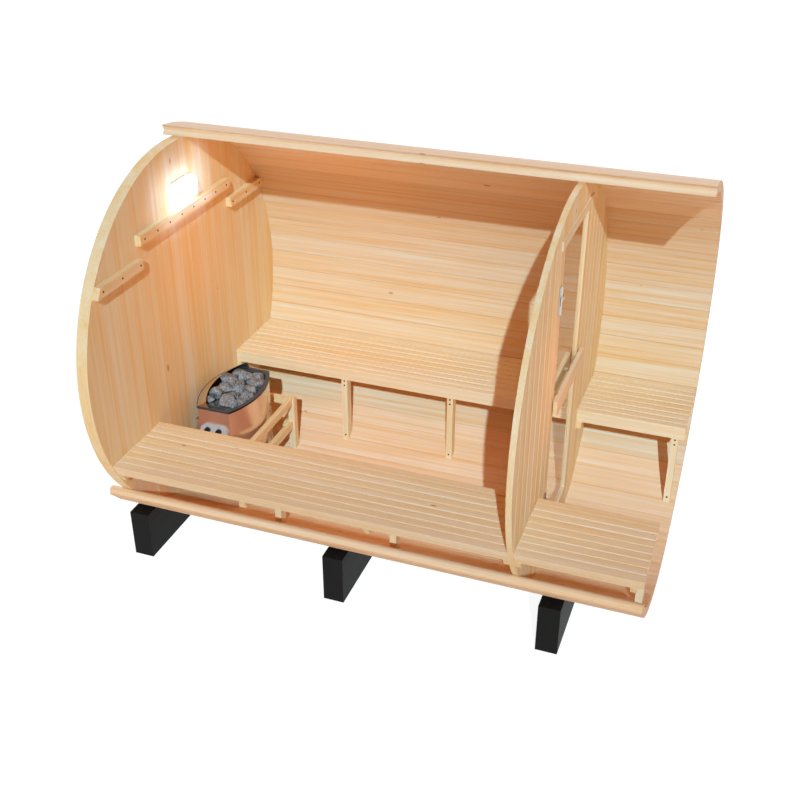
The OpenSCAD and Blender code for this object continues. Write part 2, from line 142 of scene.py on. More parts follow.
def straight_boards(along, across, pitch, start, mirrored=False):
    """Metres along, across and through boards that lie side by side, and the board's number."""
    through = ({"X", "Y", "Z"} - {along, across}).pop()

    def build(tree):
        place = add(tree, "ShaderNodeTexCoord")
        axes = add(tree, "ShaderNodeSeparateXYZ", links={0: place.outputs["Object"]})
        side = axes.outputs[across]
        if mirrored:
            side = add(tree, "ShaderNodeMath", {"operation": "ABSOLUTE"}, {0: side}).outputs[0]
        offset = add(tree, "ShaderNodeMath", {"operation": "SUBTRACT", 1: start}, {0: side})
        share = add(tree, "ShaderNodeMath", {"operation": "DIVIDE", 1: pitch},
                    {0: offset.outputs[0]})
        number = add(tree, "ShaderNodeMath", {"operation": "FLOOR"},
                     {0: share.outputs[0]}).outputs[0]
        if mirrored:
            sign = add(tree, "ShaderNodeMath", {"operation": "SIGN"}, {0: axes.outputs[across]})
            number = add(tree, "ShaderNodeMath", {"operation": "MULTIPLY_ADD", 1: SIDE_SHIFT},
                         {0: sign.outputs[0], 2: number}).outputs[0]
        return axes.outputs[along], axes.outputs[across], axes.outputs[through], number, None
    return build


print("coordinates of straight boards ready")

# %% [markdown]
# ### Staves round the axis
#
# The staves stand round the barrel's axis, so a stave's number comes from the angle round it, and
# the distance across the staves is an arc. A real joint between two staves would be lost in a
# picture of this size. The shader therefore learns how near a point is to a joint, too, and can
# draw a thin soft line there.

# %% Coordinates of the barrel's staves
def ring_of_staves(tree):
    """The same sockets for staves round the axis, and how near a point is to a joint, in metres."""
    place = add(tree, "ShaderNodeTexCoord")
    axes = add(tree, "ShaderNodeSeparateXYZ", links={0: place.outputs["Object"]})
    height = add(tree, "ShaderNodeMath", {"operation": "SUBTRACT", 1: AXIS_Z},
                 {0: axes.outputs["Z"]})
    angle = add(tree, "ShaderNodeMath", {"operation": "ARCTAN2"},
                {0: height.outputs[0], 1: axes.outputs["Y"]})
    arc = add(tree, "ShaderNodeMath", {"operation": "MULTIPLY", 1: WALL_R}, {0: angle.outputs[0]})
    flat = add(tree, "ShaderNodeCombineXYZ", links={0: axes.outputs["Y"], 1: height.outputs[0]})
    radius = add(tree, "ShaderNodeVectorMath", {"operation": "LENGTH"}, {0: flat.outputs[0]})
    turned = add(tree, "ShaderNodeMath", {"operation": "SUBTRACT", 0: OPEN_ANGLE},
                 {1: angle.outputs[0]})
    share = add(tree, "ShaderNodeMath", {"operation": "DIVIDE", 1: STAVE_STEP},
                {0: turned.outputs[0]})
    number = add(tree, "ShaderNodeMath", {"operation": "FLOOR"}, {0: share.outputs[0]})
    joint = add(tree, "ShaderNodeMath", {"operation": "PINGPONG", 1: 0.5}, {0: share.outputs[0]})
    joint = add(tree, "ShaderNodeMath", {"operation": "MULTIPLY", 1: STAVE_STEP * WALL_R},
                {0: joint.outputs[0]})
    return (axes.outputs["X"], arc.outputs[0], radius.outputs["Value"], number.outputs[0],
            joint.outputs[0])


print("one stave takes", round(math.degrees(STAVE_STEP), 2), "degrees of the ring")

# %% [markdown]
# ### Knots
#
# A knot is the foot of a branch: small, brown, and a little longer along the board than across.
# Timber of this grade has few. They could be modelled as discs, but cells of a stretched Voronoi
# texture give each knot its own place, and the chance colour of a cell says whether it holds one
# and how large it is.

# %% Knots
MM = 0.001
KNOT_CELL_W, KNOT_CELL_L, KNOT_RARITY, KNOT_SIZE = 170 * MM, 420 * MM, 0.86, 0.055
KNOT_FADE, KNOT_CORE, KNOT_DARK = -0.012, 0.02, 0.75


def stretched(tree, sizes, shift):
    """A point for a texture: metres along each socket, in its own unit, moved by a shift."""
    scaled = [add(tree, "ShaderNodeMath", {"operation": "MULTIPLY_ADD", 1: 1 / size},
                  {0: source, 2: shift}).outputs[0] for source, size in sizes]
    return add(tree, "ShaderNodeCombineXYZ", links=dict(enumerate(scaled))).outputs[0]


def knots(tree, along, across, shift):
    """A socket that rises from 0 where a knot lies."""
    point = stretched(tree, ((along, KNOT_CELL_L), (across, KNOT_CELL_W)), shift)
    cells = add(tree, "ShaderNodeTexVoronoi", {"voronoi_dimensions": "2D", "Scale": 1.0},
                {"Vector": point})
    chance = add(tree, "ShaderNodeSeparateColor", links={0: cells.outputs["Color"]})
    size = add(tree, "ShaderNodeMapRange",
               {"From Min": KNOT_RARITY, "From Max": 1.0, "To Max": KNOT_SIZE},
               {"Value": chance.outputs[0]})
    edge = add(tree, "ShaderNodeMath", {"operation": "SUBTRACT"},
               {0: size.outputs[0], 1: cells.outputs["Distance"]})
    return add(tree, "ShaderNodeMapRange",
               {"From Min": KNOT_FADE, "From Max": KNOT_CORE, "To Max": KNOT_DARK},
               {"Value": edge.outputs[0]}).outputs[0]


print("one cell in", round(1 / (1 - KNOT_RARITY)), "holds a knot")

# %% [markdown]
# ### The wood itself
#
# Two layers of stretched noise, one wide and one fine, choose between a pale and a warm tone, and
# each board shifts that choice a little. The streaks are wider than real year rings, because those
# would be lost from this far. Planed wood is matt, so the sheen is low and the relief slight.

# %% Planed spruce
STREAK_W, STREAK_L, WALL_STREAK_W = 22 * MM, 1400 * MM, 55 * MM
FINE_W, FINE_L, FINE_SHARE = 7 * MM, 500 * MM, 0.4
BOARD_TONE, BOARD_SHIFT = 0.12, 37.0
ALL_PALE, ALL_WARM = 0.36, 0.72
KNOT_BROWN, JOINT_BROWN = "#B9794A", "#C08048"
JOINT_CORE, JOINT_EDGE, JOINT_DARK = 0.6 * MM, 2.2 * MM, 0.35
TIMBER_SHEEN = 0.12


def planed_spruce(name, coordinates, pale, warm, streak=STREAK_W):
    """Bare planed softwood: matt, pale, with warm streaks and a tone for each board."""
    material, tree, shader = new_material(name)
    along, across, through, number, joint = coordinates(tree)
    tone = add(tree, "ShaderNodeTexWhiteNoise", {"noise_dimensions": "1D"}, {"W": number})
    shift = add(tree, "ShaderNodeMath", {"operation": "MULTIPLY", 1: BOARD_SHIFT},
                {0: tone.outputs["Value"]}).outputs[0]
    layers = []
    for width, length, detail in ((streak, STREAK_L, 3.0), (FINE_W, FINE_L, 2.0)):
        point = stretched(tree, ((along, length), (across, width), (through, width)), shift)
        layers.append(add(tree, "ShaderNodeTexNoise",
                          {"Scale": 1.0, "Detail": detail, "Distortion": 0.25},
                          {"Vector": point}).outputs["Fac"])
    streaks = add(tree, "ShaderNodeMix", {0: FINE_SHARE}, {2: layers[0], 3: layers[1]})
    toned = add(tree, "ShaderNodeMath", {"operation": "MULTIPLY_ADD", 1: BOARD_TONE},
                {0: tone.outputs["Value"], 2: streaks.outputs[0]})
    share = add(tree, "ShaderNodeMapRange", {"From Min": ALL_PALE, "From Max": ALL_WARM},
                {"Value": toned.outputs[0]})
    wood = add(tree, "ShaderNodeMix", {"data_type": "RGBA", 6: linear(pale), 7: linear(warm)},
               {0: share.outputs[0]})
    colour = add(tree, "ShaderNodeMix", {"data_type": "RGBA", 7: linear(KNOT_BROWN)},
                 {0: knots(tree, along, across, shift), 6: wood.outputs[2]})
    if joint is not None:
        line = add(tree, "ShaderNodeMapRange",
                   {"From Min": JOINT_CORE, "From Max": JOINT_EDGE,
                    "To Min": JOINT_DARK, "To Max": 0.0}, {"Value": joint})
        colour = add(tree, "ShaderNodeMix", {"data_type": "RGBA", 7: linear(JOINT_BROWN)},
                     {0: line.outputs[0], 6: colour.outputs[2]})
    rough = add(tree, "ShaderNodeMapRange", {"To Min": 0.52, "To Max": 0.68}, {"Value": layers[1]})
    bump = add(tree, "ShaderNodeBump", {"Strength": 0.12, "Distance": 0.6 * MM},
               {"Height": layers[1]})
    shader.inputs["Specular IOR Level"].default_value = TIMBER_SHEEN
    tree.links.new(colour.outputs[2], shader.inputs["Base Color"])
    tree.links.new(rough.outputs[0], shader.inputs["Roughness"])
    tree.links.new(bump.outputs[0], shader.inputs["Normal"])
    return material


print("streaks of", STREAK_W, "by", STREAK_L, "m, finer ones of", FINE_W, "by", FINE_L, "m")

# %% [markdown]
# ### Which way the grain runs
#
# The staves, slats and front boards run along the barrel, the walls, jambs, legs and posts stand
# upright, and the battens, rails, ledgers and handles lie across. The wall boards are 96 mm wide,
# and the slats 48 mm with a gap of 5 mm between them. Each kind of piece has its own pair of tones,
# one pale and one for the warm streaks, because timber that is sorted for floor or benches never
# has quite the same colour. The roof's pair is paler than the rest, and that is painted light: it
# stands in for more light on the roof.

# %% Kinds of timber
BOARD_W, BOARD_START = 96 * MM, -529 * MM
SLAT_PITCH, SLAT_START = 53 * MM, 486.5 * MM
CROSS_PITCH, CROSS_START, UPRIGHT_PITCH = 155 * MM, 15 * MM, 325 * MM
# The roof's tones are painted lighter, and they stand in for more light on the roof.
ROOF_PAINTED_LIGHTER, STAVE, FLOOR = ("#F2DEC6", "#ECC89A"), ("#E4D5BD", "#E3B57C"), ("#F0D7BC", "#ECBA82")
BOARD, SLAT, FRAME = ("#F0E0BE", "#EEC482"), ("#F2DFC2", "#EFCA93"), ("#EFDCBF", "#EBC188")
wall_boards = straight_boards("Z", "Y", BOARD_W, BOARD_START)
bench_boards = straight_boards("X", "Y", SLAT_PITCH, SLAT_START, mirrored=True)
across_boards = straight_boards("Y", "Z", CROSS_PITCH, CROSS_START)
upright_boards = straight_boards("Z", "X", UPRIGHT_PITCH, 0)
roof_wood = planed_spruce("planed_spruce_roof_staves", ring_of_staves, *ROOF_PAINTED_LIGHTER)
stave_wood = planed_spruce("planed_spruce_staves", ring_of_staves, *STAVE)
floor_wood = planed_spruce("planed_spruce_floor_staves", ring_of_staves, *FLOOR)
wall_wood = planed_spruce("planed_spruce_wall_boards", wall_boards, *BOARD, WALL_STREAK_W)
slat_wood = planed_spruce("planed_spruce_slats", bench_boards, *SLAT)
cross_wood = planed_spruce("planed_spruce_across", across_boards, *BOARD)
upright_wood = planed_spruce("planed_spruce_upright", upright_boards, *BOARD)
jamb_wood = planed_spruce("planed_spruce_jambs", upright_boards, *FRAME)
handle_wood = planed_spruce("planed_spruce_handles", across_boards, *FRAME)
spruces = [m.name for m in bpy.data.materials if m.name.startswith("planed_spruce")]
print("kinds of timber:", len(spruces))

# %% Give the timber its grain
TIMBER = {
    roof_wood: ["roof_staves"],
    stave_wood: ["upper_back_staves", "lower_back_staves"],
    floor_wood: ["back_floor_staves", "front_floor_staves"],
    slat_wood: ["near_bench", "far_bench", "porch_near_bench", "porch_far_bench"],
    cross_wood: ["rear_wall_battens", "room_bench_rails", "porch_bench_rails", "rear_ledgers",
                 "partition_ledgers", "porch_ledgers", "guard_rails"],
    upright_wood: ["room_bench_legs", "porch_bench_legs", "guard_posts"],
    handle_wood: ["door_header", "door_sill", "door_handle_outside", "door_handle_inside"],
    jamb_wood: ["door_jamb_near", "door_jamb_far"],
}


def finish(node, material):
    """Gives all the slots of a CAD node one material."""
    for slot in nodes[node].material_slots:
        slot.material = material


for material, names in TIMBER.items():
    for name in names:
        finish(name, material)
print("timber finished:", sum(len(names) for names in TIMBER.values()), "nodes")

# %% [markdown]
# ## Black stained cradles
#
# The cradles are sawn timber under a black stain: the colour is near black and even, and a faint
# grain along the beam breaks the sheen. A dark base with a noisy roughness gives that, because
# stain hides colour but not texture.

# %% Black stained timber
GRAIN_W, GRAIN_L = 9 * MM, 600 * MM
stained, tree, shader = new_material("black_stained_timber")
place = add(tree, "ShaderNodeTexCoord")
along_beam = add(tree, "ShaderNodeMapping", {"Scale": (1 / GRAIN_W, 1 / GRAIN_L, 1 / GRAIN_W)},
                 {"Vector": place.outputs["Object"]})
grain = add(tree, "ShaderNodeTexNoise", {"Scale": 1.0, "Detail": 4.0},
            {"Vector": along_beam.outputs[0]}).outputs["Fac"]
colour = add(tree, "ShaderNodeMix",
             {"data_type": "RGBA", 6: linear("#100F0E"), 7: linear("#1A1817")}, {0: grain})
rough = add(tree, "ShaderNodeMapRange", {"To Min": 0.45, "To Max": 0.7}, {"Value": grain})
bump = add(tree, "ShaderNodeBump", {"Strength": 0.25, "Distance": 1 * MM}, {"Height": grain})
shader.inputs["Specular IOR Level"].default_value = TIMBER_SHEEN
tree.links.new(colour.outputs[2], shader.inputs["Base Color"])
tree.links.new(rough.outputs[0], shader.inputs["Roughness"])
tree.links.new(bump.outputs[0], shader.inputs["Normal"])
for name in ("cradle_rear", "cradle_middle", "cradle_front"):
    finish(name, stained)
print("cradles stained")

# %% [markdown]
# ## Metals and plastics
#
# The heater's casing and its bracket are polished steel that mirrors the wood around them a little
# blurred, and the warm tint in the steel's own colour is a painted reflection of that wood. The
# control panel has a pale satin coating, the hinges are brushed, and the knobs and the lamp's base
# are moulded plastic. Each finish has a fine noise in its roughness, because a perfectly even gloss
# looks like a drawing.

# %% Metals and plastics
def coated(name, code, metallic, rough_low, rough_high, grit, stretch=(1, 1, 1)):
    """A hard even finish whose gloss varies a little, with a pattern of about grit metres."""
    material, tree, shader = new_material(name)
    place = add(tree, "ShaderNodeTexCoord")
    scale = [s / grit for s in stretch]
    sized = add(tree, "ShaderNodeMapping", {"Scale": scale}, {"Vector": place.outputs["Object"]})
    cloud = add(tree, "ShaderNodeTexNoise", {"Scale": 1.0, "Detail": 3.0},
                {"Vector": sized.outputs[0]})
    rough = add(tree, "ShaderNodeMapRange", {"To Min": rough_low, "To Max": rough_high},
                {"Value": cloud.outputs["Fac"]})
    shader.inputs["Base Color"].default_value = linear(code)
    shader.inputs["Metallic"].default_value = metallic
    tree.links.new(rough.outputs[0], shader.inputs["Roughness"])
    return material


# A soft mirror, whose colour is tinted warm as a painted reflection of the wood
polished = coated("polished_stainless_steel", "#EBD3BE", 0.85, 0.2, 0.28, 120 * MM)
# Pale and calm, so that the black knobs stand out
satin_silver = coated("satin_silver_panel", "#D3D6D8", 0.3, 0.3, 0.42, 60 * MM)
# Bright metal with fine upright strokes
brushed = coated("brushed_steel", "#DAD8D4", 1.0, 0.22, 0.36, 8 * MM, (1, 1, 12))
# Near black with a dull shine, and white with a soft one
knob_plastic = coated("black_moulded_plastic", "#17181A", 0.0, 0.3, 0.42, 10 * MM)
lamp_plastic = coated("white_moulded_plastic", "#F1ECE2", 0.0, 0.25, 0.35, 30 * MM)
HARDWARE = {
    "heater_casing": polished, "heater_bracket": polished, "heater_panel": satin_silver,
    "heater_knob_left": knob_plastic, "heater_knob_right": knob_plastic,
    "lamp_base": lamp_plastic, "door_hinges": brushed, "jamb_hinges": brushed,
}
for name, material in HARDWARE.items():
    finish(name, material)
print("hardware finished:", len(HARDWARE), "nodes")

# %% [markdown]
# ### The heater's rim
#
# The rim is grey enamel, but the sheet that leans over the stones is polished like the casing, and
# its inside is painted near black as painted shade. Both are one piece, so the finish changes with
# the height and with the way a face looks: above the rim and on the side of the wall the metal
# shows, and a face that looks down into the tray is painted black, as painted shade.

# %% Rim finish
rim_low, rim_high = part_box("heater_rim")
RIM_TOP, JUST_ABOVE = rim_low.z + 12 * MM, 0.3 * MM
INTO_TRAY, FACES_TRAY = (0.7, 0.0, -0.7), 0.3
TO_WALL, FACES_WALL = (-1.0, 0.0, 0.0), 0.15
CLOUD_SIZE = 40 * MM
rim_finish, tree, shader = new_material("enamelled_rim_and_polished_sheet")
place = add(tree, "ShaderNodeTexCoord")
height = add(tree, "ShaderNodeSeparateXYZ", links={0: place.outputs["Object"]})
normal = add(tree, "ShaderNodeNewGeometry").outputs["True Normal"]
above = add(tree, "ShaderNodeMath", {"operation": "GREATER_THAN", 1: RIM_TOP + JUST_ABOVE},
            {0: height.outputs["Z"]})
wallwards = add(tree, "ShaderNodeVectorMath", {"operation": "DOT_PRODUCT", 1: TO_WALL},
                {0: normal})
behind = add(tree, "ShaderNodeMath", {"operation": "GREATER_THAN", 1: FACES_WALL},
             {0: wallwards.outputs["Value"]})
sheet = add(tree, "ShaderNodeMath", {"operation": "MAXIMUM"},
            {0: above.outputs[0], 1: behind.outputs[0]})
inwards = add(tree, "ShaderNodeVectorMath", {"operation": "DOT_PRODUCT", 1: INTO_TRAY},
              {0: normal})
painted_tray_shade = add(tree, "ShaderNodeMath", {"operation": "GREATER_THAN", 1: FACES_TRAY},
            {0: inwards.outputs["Value"]})
cloud = add(tree, "ShaderNodeTexNoise", {"Scale": 1 / CLOUD_SIZE, "Detail": 3.0},
            {"Vector": place.outputs["Object"]})
grey = add(tree, "ShaderNodeMix",
           {"data_type": "RGBA", 6: linear("#2A333B"), 7: linear("#48545E")},
           {0: cloud.outputs["Fac"]})
outside = add(tree, "ShaderNodeMix", {"data_type": "RGBA", 7: linear("#DCD6CF")},
              {0: sheet.outputs[0], 6: grey.outputs[2]})
# Faces that look down into the tray are painted near black: painted shade, where the tray lies in
# shade.
colour = add(tree, "ShaderNodeMix", {"data_type": "RGBA", 7: linear("#0C0A09")},
             {0: painted_tray_shade.outputs[0], 6: outside.outputs[2]})
unshaded_metal = add(tree, "ShaderNodeMath", {"operation": "SUBTRACT", "use_clamp": True},
            {0: sheet.outputs[0], 1: painted_tray_shade.outputs[0]})
rough = add(tree, "ShaderNodeMapRange", {"To Min": 0.18, "To Max": 0.5},
            {"Value": cloud.outputs["Fac"]})
tree.links.new(colour.outputs[2], shader.inputs["Base Color"])
tree.links.new(unshaded_metal.outputs[0], shader.inputs["Metallic"])
tree.links.new(rough.outputs[0], shader.inputs["Roughness"])
finish("heater_rim", rim_finish)
print("rim finished, its flat top at", round(RIM_TOP, 3))

# %% [markdown]
# ## The glass door
#
# The leaf is 8 mm of clear toughened glass that shows mainly by its edges and its reflections. A
# shader that bends light would keep the sun out of the doorway, since no sun ray finds its way
# through it in a plain render. So rays that come from the lamps meet a Transparent shader instead.
# The IOR is lower than that of real glass, because both faces of a thin pane together bend light
# hardly at all.

# %% Clear glass
glass, tree, shader = new_material("clear_toughened_glass")
shader.inputs["Base Color"].default_value = linear("#FBFBF8")
shader.inputs["Roughness"].default_value = 0.0
shader.inputs["IOR"].default_value = 1.15
shader.inputs["Transmission Weight"].default_value = 1.0
path = add(tree, "ShaderNodeLightPath")
clear = add(tree, "ShaderNodeBsdfTransparent", {"Color": linear("#F8F9F6")})
either = add(tree, "ShaderNodeMixShader",
             links={0: path.outputs["Is Shadow Ray"], 1: shader.outputs[0], 2: clear.outputs[0]})
output = next(n for n in tree.nodes if n.type == "OUTPUT_MATERIAL")
tree.links.new(either.outputs[0], output.inputs["Surface"])
finish("door_glass", glass)
print("door glazed")

# %% [markdown]
# ## From a bmesh to a piece of the sauna
#
# Each new piece is modelled in a bmesh, in its final place, so its object stays at the origin. One
# function turns the bmesh to an object, gives it a material, and lets it ride on the body that
# carries it.

# %% Make a piece
def make_piece(bm, name, material, body="sauna", smooth=False):
    mesh = bpy.data.meshes.new(name)
    bmesh.ops.recalc_face_normals(bm, faces=bm.faces)
    bm.to_mesh(mesh)
    bm.free()
    mesh.materials.append(material)
    for polygon in mesh.polygons:
        polygon.use_smooth = smooth
    piece = bpy.data.objects.new(name, mesh)
    bpy.context.scene.collection.objects.link(piece)
    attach(piece, body)
    print(name, len(mesh.polygons), "faces")
    return piece


print("new pieces can be made")

# %% [markdown]
# ## Wall boards
#
# The two round walls are made of upright boards with a bevel on each long edge, so that two boards
# meet in a small V. Lines in a bump map would look right from the front alone. Here a disc is
# extruded to the wall's thickness, cut down to one board by planes, closed again and bevelled, and
# that is repeated board by board.

# %% One wall board
RIM_SIDES = 256
UPRIGHT_DOT, EDGE_NEAR = 0.999, 0.1 * MM
UP = Vector((0, 0, 1))


def cut(bm, point, normal):
    """Cuts away what lies beyond a plane and closes the cut."""
    everything = bm.verts[:] + bm.edges[:] + bm.faces[:]
    cut_result = bmesh.ops.bisect_plane(bm, geom=everything, dist=1e-6, plane_co=point,
                                        plane_no=normal, clear_outer=True)
    edges = [e for e in cut_result["geom_cut"] if isinstance(e, bmesh.types.BMEdge)]
    bmesh.ops.edgeloop_fill(bm, edges=edges)


def wall_board(low, high, bevel):
    """One upright board of a round wall, between two corners."""
    bm = bmesh.new()
    bmesh.ops.create_circle(bm, cap_ends=True, segments=RIM_SIDES, radius=WALL_R)
    lie = Matrix.Translation((low.x, 0, AXIS_Z)) @ Matrix.Rotation(math.pi / 2, 4, "Y")
    bmesh.ops.transform(bm, matrix=lie, verts=bm.verts)
    side = bmesh.ops.extrude_face_region(bm, geom=bm.faces[:])
    moved = [v for v in side["geom"] if isinstance(v, bmesh.types.BMVert)]
    bmesh.ops.translate(bm, vec=(high.x - low.x, 0, 0), verts=moved)
    planes = ((low, (0, -1, 0)), (high, (0, 1, 0)), (low, (0, 0, -1)), (high, (0, 0, 1)))
    for point, normal in planes:
        reach = (point - Vector((0, 0, AXIS_Z))).dot(Vector(normal))
        if reach < WALL_R - 1 * MM:
            cut(bm, point, normal)
    long_edges = [
        e for e in bm.edges
        if abs((e.verts[0].co - e.verts[1].co).normalized().dot(UP)) > UPRIGHT_DOT
        and min(abs(e.verts[0].co.y - low.y), abs(e.verts[0].co.y - high.y)) < EDGE_NEAR
    ]
    bmesh.ops.bevel(bm, geom=long_edges, offset=bevel, affect="EDGES", segments=1, profile=0.5,
                    material=-1)
    return bm


print("a full disc has", RIM_SIDES, "sides")

# %% Board the walls
BEVEL = {"rear_wall": 0.6 * MM}
PARTITION_BEVEL = 4 * MM
# A sliver narrower than this many bevels isn't made
LEAST_BEVELS = 3


def board_wall(node):
    """All the boards of one piece of a round wall, in the place of its CAD node."""
    low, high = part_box(node)
    bevel = BEVEL.get(node, PARTITION_BEVEL)
    first = math.floor((low.y - BOARD_START) / BOARD_W)
    last = math.ceil((high.y - BOARD_START) / BOARD_W)
    whole = bmesh.new()
    spare = bpy.data.meshes.new("board")
    for number in range(first, last):
        left = max(low.y, BOARD_START + number * BOARD_W)
        right = min(high.y, BOARD_START + (number + 1) * BOARD_W)
        if right - left < LEAST_BEVELS * bevel:
            continue
        board = wall_board(Vector((low.x, left, low.z)), Vector((high.x, right, high.z)), bevel)
        board.to_mesh(spare)
        board.free()
        whole.from_mesh(spare)
    bpy.data.meshes.remove(spare)
    piece = make_piece(whole, node + "_boards", wall_wood)
    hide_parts(node)


for node in ("rear_wall", "partition_near", "partition_far", "partition_over_door",
             "partition_under_door"):
    board_wall(node)

# %% [markdown]
# ## Heater stones
#
# The tray is heaped with split grey stones, from the size of an egg to that of a fist. Their
# surface has pale and dark grains of 1 or 2 mm, drawn larger here so that they show. A split stone
# has flat breaks with worn edges. So each one starts as an icosphere, planes at chance angles push
# its surface flat here and there, and noise roughens it. The seed is fixed, so that every run gives
# the same heap. A layer of plainer stones lies beneath, because the gaps in the upper layer show
# it.

# %% Stone
# Grey with pale and dark grains, dull and rough
SPOT_SIZE, PATCH_SIZE, PATCH_SHARE = 7 * MM, 50 * MM, 0.3
stone_grey, tree, shader = new_material("split_grey_stone")
place = add(tree, "ShaderNodeTexCoord")
spots = add(tree, "ShaderNodeTexNoise", {"Scale": 1 / SPOT_SIZE, "Detail": 3.0, "Roughness": 0.7},
            {"Vector": place.outputs["Object"]})
patches = add(tree, "ShaderNodeTexNoise", {"Scale": 1 / PATCH_SIZE, "Detail": 2.0},
              {"Vector": place.outputs["Object"]})
mixed = add(tree, "ShaderNodeMix", {0: PATCH_SHARE},
            {2: spots.outputs["Fac"], 3: patches.outputs["Fac"]})
shade = add(tree, "ShaderNodeMapRange", {"From Min": 0.38, "From Max": 0.63},
            {"Value": mixed.outputs[0]})
colour = add(tree, "ShaderNodeMix",
             {"data_type": "RGBA", 6: linear("#232425"), 7: linear("#B4B6B7")},
             {0: shade.outputs[0]})
bump = add(tree, "ShaderNodeBump", {"Strength": 0.7, "Distance": 3 * MM},
           {"Height": spots.outputs["Fac"]})
shader.inputs["Roughness"].default_value = 0.7
tree.links.new(colour.outputs[2], shader.inputs["Base Color"])
tree.links.new(bump.outputs[0], shader.inputs["Normal"])
print("grains of", SPOT_SIZE, "m on the stones")

# %% One stone
draw = random.Random(7)
BREAKS, BREAK_NEAR, BREAK_FAR = 9, 0.62, 0.86
NARROW, WIDE, FLATNESS, TILT = 0.8, 1.1, 0.72, 0.5
FULLER, LUMP, LUMP_RATE, GRIT, GRIT_RATE, SEED_REACH = 1.15, 0.1, 2.3, 0.05, 7, 50


def chance_vector():
    return Vector([draw.uniform(-1, 1) for _ in range(3)])


def split_stone(bm, centre, radius, steps):
    """One stone: an icosphere with flat breaks, roughened, squashed and turned by chance."""
    breaks = [(chance_vector().normalized(), draw.uniform(BREAK_NEAR, BREAK_FAR))
              for _ in range(BREAKS)]
    squash = Matrix.Diagonal([draw.uniform(NARROW, WIDE) * radius,
                              draw.uniform(NARROW, WIDE) * radius, FLATNESS * radius])
    tilt = Matrix.Rotation(draw.uniform(-TILT, TILT), 3, "X")
    turn = tilt @ Matrix.Rotation(draw.uniform(0, 6.28), 3, "Z")
    seed = chance_vector() * SEED_REACH
    for vert in bmesh.ops.create_icosphere(bm, subdivisions=steps, radius=1.0)["verts"]:
        for out, reach in breaks:
            vert.co -= out * max(0, vert.co.dot(out) - reach)
        lumps = LUMP * noise.noise(vert.co * LUMP_RATE + seed)
        vert.co *= FULLER + lumps + GRIT * noise.noise(vert.co * GRIT_RATE + seed)
        vert.co = centre + turn @ squash @ vert.co


print("each stone has", BREAKS, "flat breaks")

# %% Heap of stones
# Across, along and radius of the stones, in millimetres from the tray's middle
TOP_STONES = [
    (38, -140, 60), (-72, -72, 44), (-68, 80, 55), (-50, 172, 42), (6, 140, 46),
    (58, 188, 42), (84, 96, 44), (30, 25, 42), (-38, 0, 50), (88, 32, 38),
    (100, -44, 42), (96, -112, 36), (-72, -150, 30), (40, -58, 38),
]
BED_STONES = [(x, y, 42) for x in (-80, 0, 80) for y in (-150, -75, 0, 75, 150)]
BED_LEVEL, TOP_LEVEL, UNEVEN = -35 * MM, 2 * MM, 6
stone_low, stone_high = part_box("heater_stones")
casing_low, casing_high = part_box("heater_casing")
tray_mid = (stone_low + stone_high) / 2
heap = bmesh.new()
for layer, level, steps in ((BED_STONES, BED_LEVEL, 3), (TOP_STONES, TOP_LEVEL, 4)):
    for across, along, radius in layer:
        rise = level + draw.uniform(-UNEVEN, UNEVEN) * MM
        centre = Vector((tray_mid.x + across * MM, along * MM, casing_high.z + rise))
        split_stone(heap, centre, radius * MM, steps)
stones = make_piece(heap, "heater_stone_heap", stone_grey, smooth=True)
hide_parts("heater_stones")

# %% [markdown]
# ## Screws
#
# Dark countersunk screws hold the battens and the legs. A head is a low cone with a small recess: a
# cone operator makes the head, and an inset pushed inwards makes the recess. The faces that they
# sit on are read from the frame, and their spacing was read off the photograph.

# %% One screw head
# Dull dark metal that reads as a small dot from afar
screw_steel = coated("blackened_screw_steel", "#2A211C", 0.6, 0.35, 0.5, 4 * MM)
SCREW_R, SCREW_H = 5.5 * MM, 1.6 * MM


def screw_head(bm, point, out):
    out = Vector(out)
    turn = out.to_track_quat("Z", "Y").to_matrix().to_4x4()
    where = Matrix.Translation(Vector(point) + out * SCREW_H / 2) @ turn
    made = bmesh.ops.create_cone(bm, cap_ends=True, segments=12, radius1=SCREW_R,
                                 radius2=0.75 * SCREW_R, depth=SCREW_H, matrix=where)
    faces = {f for v in made["verts"] for f in v.link_faces}
    top = max(faces, key=lambda f: f.normal.dot(out) * 100 + f.calc_center_median().dot(out))
    bmesh.ops.inset_individual(bm, faces=[top], thickness=0.35 * SCREW_R, depth=-0.6 * SCREW_H)


print("screw heads", 2 * SCREW_R, "m across")

# %% Screws in the battens
batten_low, batten_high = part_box("rear_wall_battens")
LONG_SCREWS, LONG_FIRST, LONG_Z = 8, 0.425, AXIS_Z + 0.632
SHORT_SCREWS, SHORT_Z = (0.487, 0.652, 0.818), AXIS_Z + 0.516
heads = bmesh.new()
for i in range(LONG_SCREWS):
    y = LONG_FIRST * (2 * i / (LONG_SCREWS - 1) - 1)
    screw_head(heads, (batten_high.x, y, LONG_Z), (1, 0, 0))
for side in (-1, 1):
    for y in SHORT_SCREWS:
        screw_head(heads, (batten_high.x, side * y, SHORT_Z), (1, 0, 0))
make_piece(heads, "batten_screws", screw_steel)

# %% Screws in the legs
leg_low, leg_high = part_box("room_bench_legs")
porch_low, porch_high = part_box("porch_bench_legs")
LEG_W = porch_high.x - porch_low.x
LEG_SCREW_ZS = [AXIS_Z - 0.491, AXIS_Z - 0.520, AXIS_Z - 0.861]
leg_face = min(abs(v.co.y) for v in nodes["room_bench_legs"].data.vertices)
heads = bmesh.new()
for x in (leg_low.x + LEG_W / 2, leg_high.x - LEG_W / 2, (porch_low.x + porch_high.x) / 2):
    for side in (-1, 1):
        for z in LEG_SCREW_ZS:
            screw_head(heads, (x, side * leg_face, z), (0, -side, 0))
make_piece(heads, "leg_screws", screw_steel)

# %% [markdown]
# ## The lit lamp
#
# The shade is opal plastic with soft edges and a lamp behind it. It is a box whose four corners are
# rounded first and whose front edge after, and it gives light itself, so the wall round it glows.

